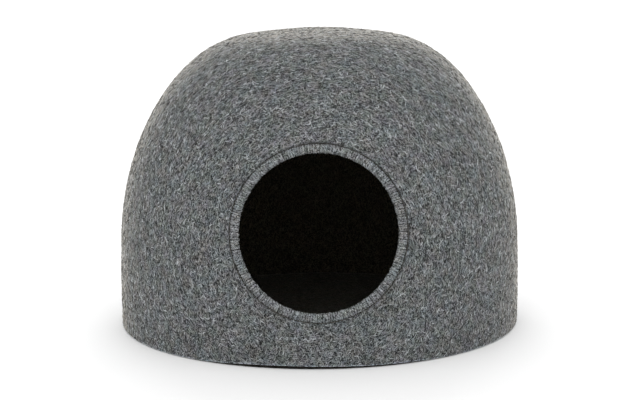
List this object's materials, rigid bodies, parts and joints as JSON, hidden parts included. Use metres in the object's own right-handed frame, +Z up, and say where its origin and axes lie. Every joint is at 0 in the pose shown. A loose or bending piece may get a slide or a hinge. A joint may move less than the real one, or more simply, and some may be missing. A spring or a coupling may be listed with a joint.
{
  "type": "felt cat cave",
  "caption": "Domed cat cave of thick moulded felt with a flat crown, a round bound opening in the front and a dark felt base.",
  "frame": {"origin": "on the floor, under the middle of the dome", "axes": "+Z up, -Y out through the opening, +X to the right of someone looking into the opening"},
  "size_m": [0.4504, 0.4511, 0.3315],
  "materials": {
    "grey_felt": "thick mottled grey wool felt with short surface fibres",
    "grey_yarn": "closely overcast grey yarn",
    "black_felt": "dense near-black felt"
  },
  "bodies": {
    "root": {"shell": "grey_felt", "opening_binding": "grey_yarn", "base": "black_felt"}
  },
  "joints": []
}
